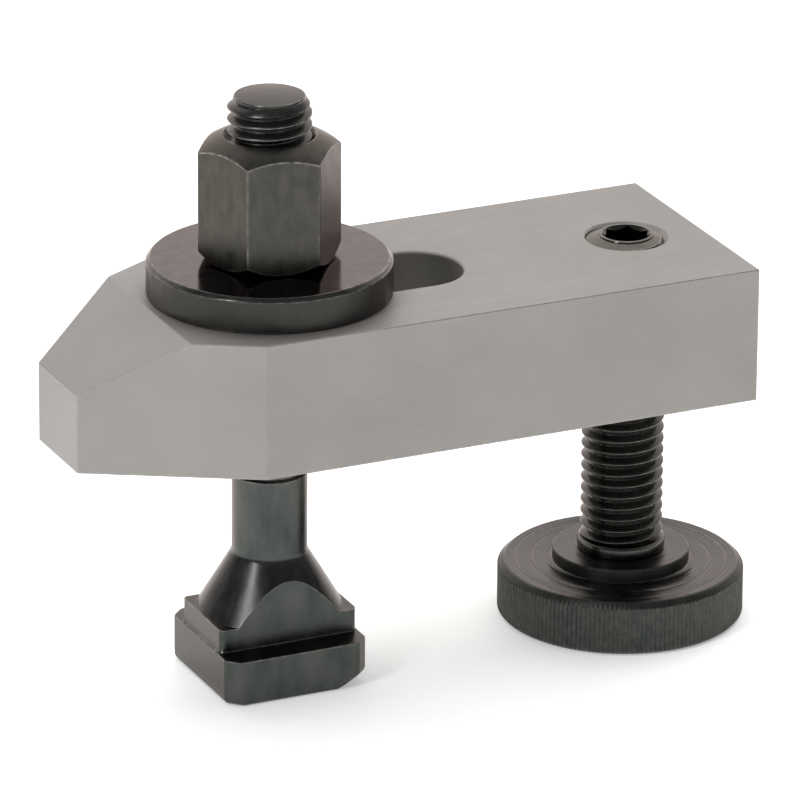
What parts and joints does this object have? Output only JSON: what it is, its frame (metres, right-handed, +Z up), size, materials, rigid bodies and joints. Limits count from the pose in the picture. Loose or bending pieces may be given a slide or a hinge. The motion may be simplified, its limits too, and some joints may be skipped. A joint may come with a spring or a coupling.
{
  "type": "strap clamp with adjusting support screw",
  "caption": "Machinist's tapered strap clamp: slotted steel bar with a T-slot bolt, washer and tall hex nut, and a threaded support screw on a knurled round foot.",
  "frame": {"origin": "centre of the bounding box in plan, on the surface that the screw's foot and the bolt's T-head stand on", "axes": "+X along the bar from its nose to its heel, +Y across the bar, +Z up along the bolt and the support screw"},
  "size_m": [0.1066, 0.04, 0.0876],
  "materials": {
    "ground_steel": "satin ground bare steel",
    "bolt_oxide": "black oxide, lightly oiled",
    "washer_oxide": "black oxide over a turned face, glossy",
    "nut_oxide": "black oxide, satin",
    "screw_oxide": "black oxide, lightly oiled",
    "foot_oxide": "black oxide over a turned and knurled surface"
  },
  "bodies": {
    "clamp_bar": {"clamp_bar": "ground_steel"},
    "washer": {"washer": "washer_oxide"},
    "hex_nut": {"hex_nut": "nut_oxide"},
    "t_slot_bolt": {"t_slot_bolt": "bolt_oxide"},
    "knurled_foot": {"knurled_foot": "foot_oxide"},
    "support_screw": {"support_screw": "screw_oxide"}
  },
  "joints": [
    {"name": "slot_slide", "type": "slide", "parent": "clamp_bar", "child": "washer", "axis": [1, 0, 0], "range_m": [-0.0052, 0.0232]},
    {"name": "bolt_draw", "type": "slide", "parent": "washer", "child": "t_slot_bolt", "axis": [0, 0, 1], "range_m": [-0.006, 0.02]},
    {"name": "nut_turn", "type": "hinge", "parent": "washer", "child": "hex_nut", "pos_m": [-0.0208, 0, 0.0723], "axis": [0, 0, 1], "range_deg": [-4120, 1240]},
    {"name": "foot_lift", "type": "slide", "parent": "clamp_bar", "child": "knurled_foot", "axis": [0, 0, 1], "range_m": [-0.0085, 0.0259]},
    {"name": "screw_turn", "type": "hinge", "parent": "knurled_foot", "child": "support_screw", "pos_m": [0.0353, 0, 0.03], "axis": [0, 0, 1], "range_deg": [-1755, 5335]}
  ],
  "couplings": [
    {"joint": "nut_turn", "follows": "bolt_draw", "rad_per_m": -3590.4},
    {"joint": "screw_turn", "follows": "foot_lift", "rad_per_m": 3590.4}
  ]
}
